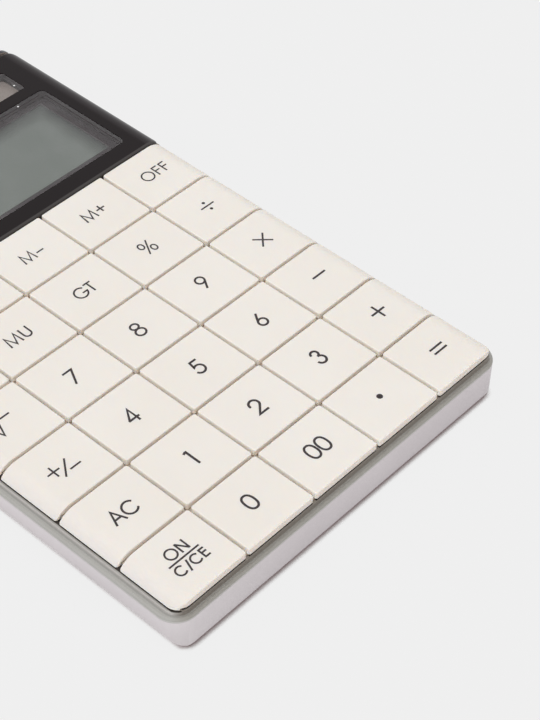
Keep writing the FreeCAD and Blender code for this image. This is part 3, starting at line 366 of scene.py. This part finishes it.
def stroke_edges(points, width):
    """The two edges of a stroke, cut square at its ends and mitred at its corners."""
    closed = math.dist(points[0], points[-1]) < 1e-6
    path = points[:-1] if closed else points
    count = len(path)
    edges = []
    for index, point in enumerate(path):
        before = path[index - 1] if index or closed else point
        after = path[(index + 1) % count] if index + 1 < count or closed else point
        sides = []
        for start_point, stop_point in ((before, point), (point, after)):
            run = Vector((stop_point[0] - start_point[0], stop_point[1] - start_point[1]))
            if run.length > 1e-9:
                run.normalize()
                sides.append(Vector((-run.y, run.x)))
        outward = sum(sides, Vector((0, 0)))
        if outward.length < 1e-6:
            outward = sides[0]
        outward.normalize()
        reach = min(1 / max(outward.dot(sides[0]), 0.05), MITRE_LIMIT) * width / 2
        edges.append((Vector(point) + outward * reach, Vector(point) - outward * reach))
    return edges, closed


def centre_of(key):
    low_corner, high_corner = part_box(key)
    return ((low_corner + high_corner) / 2).to_2d()


pitch_across = (centre_of("key_plus").x - centre_of("key_all_clear").x) / 4
pitch_along = (centre_of("key_divide").y - centre_of("key_plus").y) / 3
print_shift = Vector((-0.00012, -0.00018))
first_centre = centre_of("key_all_clear") + print_shift


def print_legend(key, width, strokes, finish):
    """Lay the strokes of one legend on the top of its key as a film of ink."""
    row = next(number for number, row in enumerate(KEY_ROWS) if key in row)
    column = KEY_ROWS[row].index(key)
    centre = first_centre + Vector((column * pitch_across, (row - 1) * pitch_along))
    ink = bmesh.new()
    for number, points in enumerate(strokes):
        edges, closed = stroke_edges(points, width * PRESS_BY_ROW[row])
        level = face + INK_RISE + number * STROKE_STEP
        rims = []
        for left, right in edges:
            corners = []
            for side, drop in ((left, 0), (right, 0), (right, INK_DEPTH), (left, INK_DEPTH)):
                spot = (centre.x + side.x / 1000, centre.y + side.y / 1000, level - drop)
                corners.append(ink.verts.new(spot))
            rims.append(corners)
        pairs = list(zip(rims, rims[1:] + rims[:1])) if closed else list(zip(rims, rims[1:]))
        for one, two in pairs:
            for side in range(4):
                after = (side + 1) % 4
                ink.faces.new((one[side], one[after], two[after], two[side]))
        if not closed:
            ink.faces.new(rims[0])
            ink.faces.new(rims[-1][::-1])
    bmesh.ops.recalc_face_normals(ink, faces=ink.faces)
    mesh = bpy.data.meshes.new(key.replace("key_", "legend_"))
    ink.to_mesh(mesh)
    ink.free()
    mesh.materials.append(finish)
    legend = bpy.data.objects.new(mesh.name, mesh)
    scene.collection.objects.link(legend)
    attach(legend, key)


charcoal, start = new_finish("charcoal_ink")
patchy = grain(start, 2600.0, 3.0, 0.6).spread(0.25, 0.75)
end_finish(start, Base_Color=patchy.mixed((0.044, 0.036, 0.037, 1.0), (0.064, 0.054, 0.055, 1.0)),
           Roughness=patchy.spread(0.0, 1.0, 0.5, 0.65), Specular_IOR_Level=0.2)
for key, (width, strokes) in LEGENDS.items():
    print_legend(key, width, strokes, charcoal)


# Upper housing: one moulding for the deck, the neck round it and the rounded shelf, sprayed with a warm grey
# lacquer full of fine metal flakes. Painted light makes the neck lighter where it faces left; painted shade
# makes the neck and the shelf darker at the front and darkens the crease at the foot of the neck, and a
# painted highlight runs along the shelf's outer edge. The deck under the keys is ivory plastic with no
# lacquer, with painted shade where the outer keys overhang it and painted light at the front ends of the
# column gaps.
def flakes(start, scale):
    """A different number from 0 to 1 for each flake of about 1 / scale metres."""
    cells = start.add("TexVoronoi", {"feature": "F1"}, {"Vector": place_on(start), "Scale": scale},
                      output="Color")
    return start.add("SeparateColor", sockets={"Color": cells}, output="Red")


lacquer, start = new_finish("warm_grey_lacquer")
glint = flakes(start, 15000.0)
sparkle = glint > 0.97
drift = grain(start, 60.0, 2.0).spread(0.3, 0.7)
across, along, height = parts_of(start, place_on(start))
off_middle = start.maths("ABSOLUTE", across, 0.0)
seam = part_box("lower_case")[1].z
shelf = seam + 0.0008
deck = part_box("solar_cell")[1].z
side_step = deck - 0.0006
skirt_side, touch = 0.0546, 0.00003
core_side, core_front, rim_width = 0.0512, -0.0832, 0.0030
beside = start.maths("MAXIMUM", off_middle - core_side, 0.0)
ahead = start.maths("MAXIMUM", core_front - along, 0.00001)
reach = (beside ** 2.0 + ahead ** 2.0) ** 0.5
# Painted shade towards the front, on the shelf, the neck and the deck under the keys.
front = (ahead / reach).spread(0.45, 0.92)
# Painted light where the neck faces left.
left = part_of(start, way_it_faces(start), "X").spread(-0.9, -0.5, 1.0, 0.0)
on_neck = height.spread(shelf + 0.0001, shelf + 0.0004)
on_shelf = drift.mixed((0.385, 0.373, 0.350, 1.0), (0.412, 0.400, 0.378, 1.0))
on_shelf = (front * 0.95).mixed(on_shelf, (0.312, 0.293, 0.262, 1.0))
on_shelf = (glint * 0.22).mixed(on_shelf, (0.50, 0.51, 0.48, 1.0))
# Painted highlight along the shelf's outer edge, just above the seam.
on_shelf = height.spread(seam + 0.00015, seam + 0.0003, 0.8, 0.0).mixed(on_shelf, (0.64, 0.63, 0.61, 1.0))
smooth = left.mixed((0.400, 0.385, 0.365, 1.0), (0.550, 0.525, 0.500, 1.0))
smooth = front.mixed(smooth, (0.200, 0.172, 0.145, 1.0))
# Painted shade in the crease at the foot of the neck.
foot = height.spread(shelf + 0.0002, shelf + 0.0005, 1.0, 0.0) * (height > shelf + 0.00002)
grey = on_neck.mixed(on_shelf, smooth)
grey = (foot * 0.28).mixed(grey, (0.12, 0.11, 0.10, 1.0))
grey = (sparkle * 0.5).mixed(grey, (0.80, 0.82, 0.78, 1.0))
# Painted shade where the outer keys overhang the deck, with painted light at the ends of the column gaps.
half_column, half_gap = 0.0110, 0.0006
in_column_gap = start.maths("PINGPONG", across, half_column) > half_column - half_gap
deck_and_painted_shade = front.mixed((0.105, 0.098, 0.092, 1.0), (0.035, 0.030, 0.026, 1.0))
deck_and_painted_shade = in_column_gap.mixed(deck_and_painted_shade, (0.27, 0.24, 0.21, 1.0))
deck_and_painted_shade = (reach > rim_width).mixed((0.86, 0.77, 0.67, 1.0), deck_and_painted_shade)
grey = (height > deck - touch).mixed(grey, deck_and_painted_shade)
# Painted shade on the lowered step under the sides of the outer keys.
shaded_step = (height > side_step - touch) * (height < side_step + touch) * (off_middle < skirt_side)
grey = shaded_step.mixed(grey, (0.060, 0.052, 0.047, 1.0))
end_finish(start, Base_Color=grey, Metallic=0.15 + sparkle * 0.5, Roughness=0.46 - sparkle * 0.2,
           Normal=bumps(start, glint, 0.000003, 0.5))
dress("upper_housing", lacquer)


# Lower case: a shallow tray moulded in plastic, with wide rounds under its sides. It is sprayed silver,
# smooth, with a faint lilac cast, and is held to the housing by screws through its floor. Painted light
# makes it lighter where it faces left and on the front near the left corner; painted shade darkens it
# towards the bottom, most of all low on the left-facing sides.
silver, start = new_finish("silver_lacquer")
glint = flakes(start, 16000.0)
drift = grain(start, 40.0, 3.0).spread(0.3, 0.7)
mottle = grain(start, 2600.0, 2.0).spread(0.35, 0.65)
across, _, height = parts_of(start, place_on(start))
to_right, to_back, _ = parts_of(start, way_it_faces(start))
tuck_top = 0.0085
tray_left, light_end = -0.0565, -0.0150
pearl = drift.mixed((0.655, 0.602, 0.618, 1.0), (0.685, 0.632, 0.648, 1.0))
pearl = (glint * 0.20).mixed(pearl, (0.78, 0.75, 0.77, 1.0))
pearl = (mottle * 0.22).mixed(pearl, (0.52, 0.48, 0.50, 1.0))
# Painted shade: darker towards the bottom.
pearl = height.spread(0.0, seam, 0.28, 0.0).mixed(pearl, (0.44, 0.41, 0.42, 1.0))
# Painted light where the sides face left.
pearl = to_right.spread(-0.9, -0.1, 0.42, 0.0).mixed(pearl, (0.86, 0.82, 0.84, 1.0))
# Painted shade low on the left-facing sides.
shaded_tuck = height.spread(0.0, tuck_top, 0.36, 0.0) * (to_right < -0.3)
pearl = shaded_tuck.mixed(pearl, (0.40, 0.34, 0.35, 1.0))
# Painted light on the front wall near the left corner.
lit_near_left = across.spread(tray_left, light_end, 0.46, 0.0) * to_back.spread(-0.95, -0.15, 1.0, 0.0)
pearl = lit_near_left.mixed(pearl, (0.80, 0.76, 0.77, 1.0))
edge = height.spread(seam - 0.00022, seam - 0.00012, 0.0, 0.5)
pearl = edge.mixed(pearl, (0.20, 0.18, 0.17, 1.0))
orange_peel = grain(start, 900.0, 2.0)
end_finish(start, Base_Color=pearl, Metallic=0.6, Roughness=0.40 + glint * 0.12,
           Normal=bumps(start, orange_peel, 0.000008, 0.4))
dress("lower_case", silver)


# Display cover: one moulding of glossy black plastic that stands on the deck, polished, with hairline
# rubbing marks that only show in a reflection. A painted reflection of the keys lies as a dull grey strip
# along its front edge, a painted highlight lightens its right edge where it curves down, and the walls
# of its openings are dull grey.
black, start = new_finish("polished_black_plastic")
drawn_out = start.add("Mapping", sockets={"Vector": place_on(start), "Rotation": (0, 0, 0.6),
                                          "Scale": (4000.0, 160.0, 4000.0)})
rubbed = start.add("TexNoise", sockets={"Vector": drawn_out, "Scale": 1.0, "Detail": 3.0})
dust = grain(start, 700.0, 3.0, 0.8).spread(0.78, 0.80)
across, along, height = parts_of(start, place_on(start))
cover_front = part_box("display_cover")[0].y
pane_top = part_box("display_window")[1].z
curve_side, curve_turn = 0.0500, 0.0512
slack = 0.0001
# Painted reflection of the keys along the front edge.
painted_key_reflection = along.spread(cover_front + 0.0005, cover_front + 0.0008, 1.0, 0.0)
below_top = height < pane_top - 0.00012
wells = []
for window in ("display_window", "solar_window"):
    low_corner, high_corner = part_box(window)
    wells.append((across > low_corner.x - slack) * (across < high_corner.x + slack)
                 * (along > low_corner.y - slack) * (along < high_corner.y + slack))
in_well = start.maths("MAXIMUM", *wells) * below_top
tar = (dust * 0.2).mixed((0.0052, 0.0018, 0.0024, 1.0), (0.16, 0.15, 0.15, 1.0))
# Painted highlight where the cover curves down at its right edge.
tar = across.spread(curve_side, curve_turn, 0.0, 0.5).mixed(tar, (0.026, 0.020, 0.022, 1.0))
tar = (painted_key_reflection * 0.8).mixed(tar, (0.076, 0.070, 0.068, 1.0))
end_finish(start, Base_Color=in_well.mixed(tar, (0.118, 0.106, 0.109, 1.0)),
           Roughness=rubbed.spread(0.3, 0.8, 0.10, 0.17) + in_well * 0.4, Specular_IOR_Level=0.20,
           Normal=bumps(start, rubbed, 0.0000015, 0.3))
dress("display_cover", black)


# Strip behind the display cover: a narrow moulding in polished blue black plastic with a tan front face, of
# the same outline as the cover and standing on the deck behind it.
blue_black, start = new_finish("blue_black_plastic")
rubbed = grain(start, 1800.0, 3.0)
front_face = part_of(start, way_it_faces(start), "Y").spread(-0.9, -0.6, 1.0, 0.0)
navy = rubbed.mixed((0.014, 0.016, 0.026, 1.0), (0.020, 0.023, 0.034, 1.0))
end_finish(start, Base_Color=front_face.mixed(navy, (0.30, 0.25, 0.22, 1.0)),
           Roughness=rubbed.spread(0.3, 0.7, 0.14, 0.22))
dress("rear_trim", blue_black)


# Windows: two clear acrylic panes let into the cover flush with its top, glossy and faintly smeared, with a
# small pale dot on each.
clear, start = new_finish("clear_acrylic")
to_top = part_of(start, start.add("NewGeometry", output="Normal"), "Z")
on_top = start.maths("ABSOLUTE", to_top, 0.0) > 0.9
gloss = start.add("BsdfGlossy", sockets={"Color": (0.96, 0.96, 0.97, 1.0), "Roughness": 0.04})
through_side = start.add("BsdfTransparent", sockets={"Color": (1.0, 1.0, 1.0, 1.0)})
through_top = start.add("BsdfTransparent", sockets={"Color": (0.95, 0.955, 0.95, 1.0)})
through = start.add("MixShader", sockets={"Fac": on_top, 1: through_side, 2: through_top})
facing = start.add("LayerWeight", sockets={"Blend": 0.5}, output="Facing")
edge_on = 0.04 + 0.96 * facing ** 5.0
smears = grain(start, 130.0, 3.0).spread(0.45, 0.75, 0.0, 0.02)
glazed = start.add("MixShader", sockets={"Fac": (edge_on + smears) * on_top, 1: through, 2: gloss})
dot_core, dot_edge = 0.00018, 0.00034
# A small pale dot on each pane.
for speck in ((0.0435, 0.0717), (0.0379, 0.0640)):
    apart = start.add("VectorMath", {"operation": "DISTANCE"},
                      {0: place_on(start), 1: (*speck, pane_top)}, output="Value")
    pale_dot = start.add("BsdfDiffuse", sockets={"Color": (0.85, 0.85, 0.86, 1.0)})
    glazed = start.add("MixShader", sockets={"Fac": apart.spread(dot_core, dot_edge), 1: pale_dot, 2: glazed})
start.add("OutputMaterial", sockets={"Surface": glazed})
dress("display_window", clear)
dress("solar_window", clear)


# Bezel: the frame of the display well, moulded in dark grey plastic with a fine spark-eroded grain. It lies
# on the deck, carries the display window and masks the rim of the display glass. Painted light and shade
# make its walls lighter and its upward faces much darker.
dark_grey, start = new_finish("grained_dark_plastic")
pits = grain(start, 3800.0, 2.0)
# Painted light and shade: the walls lighter, the upward faces much darker.
shaded_sill = part_of(start, way_it_faces(start), "Z").spread(0.5, 0.9)
wall = pits.mixed((0.152, 0.130, 0.136, 1.0), (0.160, 0.137, 0.143, 1.0))
end_finish(start, Base_Color=shaded_sill.mixed(wall, (0.024, 0.011, 0.015, 1.0)), Roughness=0.55,
           Specular_IOR_Level=0.22, Normal=bumps(start, pits, 0.000001, 0.3))
dress("display_bezel", dark_grey)


# Display: liquid crystal glass with a matt grey-green film on top, with no digits on it, and a painted
# shadow of the frame that darkens it towards its right and back edges. It lies under the bezel, on a
# reflector of brushed foil.
film, start = new_finish("grey_green_film")
weave = grain(start, 9000.0, 1.0)
band = grain(start, 25.0, 2.0).spread(0.3, 0.7)
green = band.mixed((0.161, 0.178, 0.165, 1.0), (0.176, 0.193, 0.178, 1.0))
green = (weave * 0.08).mixed(green, (0.215, 0.232, 0.215, 1.0))
across, along, _ = parts_of(start, place_on(start))
glass_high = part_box("display_glass")[1]
# Painted shadow of the frame towards the right and back edges of the film.
frame_shadow = start.maths("MAXIMUM", across.spread(glass_high.x - 0.0080, glass_high.x - 0.0034),
                    along.spread(glass_high.y - 0.0085, glass_high.y - 0.0034))
green = (frame_shadow * 0.8).mixed(green, (0.045, 0.046, 0.045, 1.0))
end_finish(start, Base_Color=green, Roughness=0.5, Specular_IOR_Level=0.3)
dress("display_glass", film)

foil, start = new_finish("brushed_foil")
streaks = grain(start, 2200.0, 4.0)
end_finish(start, Base_Color=streaks.mixed((0.62, 0.63, 0.61, 1.0), (0.74, 0.75, 0.73, 1.0)), Metallic=0.9,
           Roughness=0.45)
dress("display_reflector", foil)


# Solar cell: brown silicon on glass in four strips, with thin silvery lines between them. It lies in its
# seat in the deck, under its own window.
silicon, start = new_finish("brown_silicon")
cell_low, cell_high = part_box("solar_cell")
strips, half_line = 4, 0.012
strip = (part_of(start, place_on(start), "X") - cell_low.x) / ((cell_high.x - cell_low.x) / strips)
gap = start.maths("PINGPONG", strip, 0.5) < half_line
brown = grain(start, 300.0, 3.0).mixed((0.26, 0.205, 0.185, 1.0), (0.30, 0.245, 0.225, 1.0))
end_finish(start, Base_Color=(gap * 0.7).mixed(brown, (0.5, 0.46, 0.44, 1.0)), Roughness=0.25)
dress("solar_cell", silicon)


# Rubber feet: four discs of dark rubber punched from sheet and glued into recesses of the lower case, dusty
# from the desk.
foot_rubber, start = new_finish("dark_foot_rubber")
dusty = grain(start, 1200.0, 4.0)
end_finish(start, Base_Color=dusty.mixed((0.022, 0.022, 0.022, 1.0), (0.055, 0.053, 0.050, 1.0)),
           Roughness=0.82, Normal=bumps(start, dusty, 0.00003, 0.6))
dress("rubber_feet", foot_rubber)


# Screws: turned steel with a cross slot in the head, zinc plated. The case screws close the case and the
# board screws hold the board to the housing.
zinc, start = new_finish("zinc_plate")
scuffs = grain(start, 3000.0, 4.0)
end_finish(start, Base_Color=scuffs.mixed((0.55, 0.56, 0.57, 1.0), (0.70, 0.70, 0.68, 1.0)), Metallic=1.0,
           Roughness=scuffs.spread(0.2, 0.8, 0.25, 0.42))
dress("case_screws", zinc)
dress("board_screws", zinc)


# Key mat: one moulding of milky silicone rubber that lies on the board, with a hollow dome under each key
# and a black carbon pill moulded into the roof of each dome.
silicone, start = new_finish("milky_silicone")
milk = grain(start, 800.0, 2.0)
end_finish(start, Base_Color=milk.mixed((0.60, 0.60, 0.58, 1.0), (0.68, 0.68, 0.66, 1.0)), Roughness=0.6)
dress("key_mat", silicone)

carbon, start = new_finish("carbon_rubber")
soot = grain(start, 5000.0, 2.0)
end_finish(start, Base_Color=soot.mixed((0.012, 0.012, 0.012, 1.0), (0.03, 0.03, 0.03, 1.0)), Roughness=0.75)
dress("contact_pills", carbon)


# Circuit board: glass fibre with green solder mask, and the weave just showing through it. Under it sit the
# controller in its drop of black resin, a sleeved capacitor and a row of ceramic chips.
board_green, start = new_finish("green_solder_mask")
fibre = start.add("TexBrick", sockets={"Vector": place_on(start), "Scale": 900.0, "Mortar Size": 0.03},
                  output="Fac")
mask = grain(start, 350.0, 3.0)
leaf = mask.mixed((0.018, 0.105, 0.035, 1.0), (0.030, 0.145, 0.050, 1.0))
end_finish(start, Base_Color=(fibre * 0.2).mixed(leaf, (0.010, 0.070, 0.022, 1.0)), Roughness=0.3)
dress("main_board", board_green)

resin, start = new_finish("black_resin")
flow = grain(start, 260.0, 2.0)
end_finish(start, Base_Color=flow.mixed((0.006, 0.006, 0.006, 1.0), (0.014, 0.014, 0.014, 1.0)),
           Roughness=0.22, Normal=bumps(start, flow, 0.0001, 0.5))
dress("controller_chip", resin)

sleeve, start = new_finish("capacitor_sleeve")
print_wear = grain(start, 1500.0, 3.0)
end_finish(start, Base_Color=print_wear.mixed((0.030, 0.036, 0.075, 1.0), (0.050, 0.058, 0.105, 1.0)),
           Roughness=0.35)
dress("capacitor", sleeve)

ceramic, start = new_finish("fired_ceramic")
fired = grain(start, 4000.0, 2.0)
end_finish(start, Base_Color=fired.mixed((0.22, 0.16, 0.10, 1.0), (0.34, 0.26, 0.18, 1.0)), Roughness=0.5)
dress("small_components", ceramic)


# Strips between the board and the display glass: layered grey conductive rubber at the front edge and foam
# at the back edge, both squeezed in place without glue.
layered, start = new_finish("layered_contact_rubber")
layer_pitch = 0.0001
layers = start.maths("PINGPONG", part_of(start, place_on(start), "X") / layer_pitch, 1.0)
end_finish(start, Base_Color=layers.mixed((0.03, 0.03, 0.03, 1.0), (0.32, 0.32, 0.34, 1.0)), Roughness=0.7)
dress("contact_strip", layered)

foam, start = new_finish("open_foam")
pores = start.add("TexVoronoi", {"feature": "F1"}, {"Vector": place_on(start), "Scale": 3500.0},
                  output="Distance").spread(0.0, 0.6)
end_finish(start, Base_Color=pores.mixed((0.004, 0.004, 0.004, 1.0), (0.035, 0.035, 0.035, 1.0)),
           Roughness=0.95)
dress("foam_strip", foam)


# Button cell in the ring of the lower case, with a springy nickel plated strip under it and one over it, and
# the tinned leads that run from the solar cell down to the board.
cell_steel, start = new_finish("bright_cell_steel")
turned = grain(start, 1400.0, 4.0)
end_finish(start, Base_Color=turned.mixed((0.55, 0.55, 0.54, 1.0), (0.70, 0.70, 0.69, 1.0)), Metallic=1.0,
           Roughness=turned.spread(0.2, 0.8, 0.18, 0.34))
dress("button_cell", cell_steel)

nickel, start = new_finish("nickel_strip")
rolled = grain(start, 2500.0, 3.0)
end_finish(start, Base_Color=rolled.mixed((0.50, 0.48, 0.43, 1.0), (0.62, 0.60, 0.55, 1.0)), Metallic=1.0,
           Roughness=0.32)
dress("negative_contact", nickel)
dress("positive_contact", nickel)

tinned, start = new_finish("tinned_wire")
drawn = grain(start, 3000.0, 2.0)
end_finish(start, Base_Color=drawn.mixed((0.52, 0.50, 0.48, 1.0), (0.66, 0.64, 0.62, 1.0)), Metallic=1.0,
           Roughness=0.35)
dress("solar_leads", tinned)
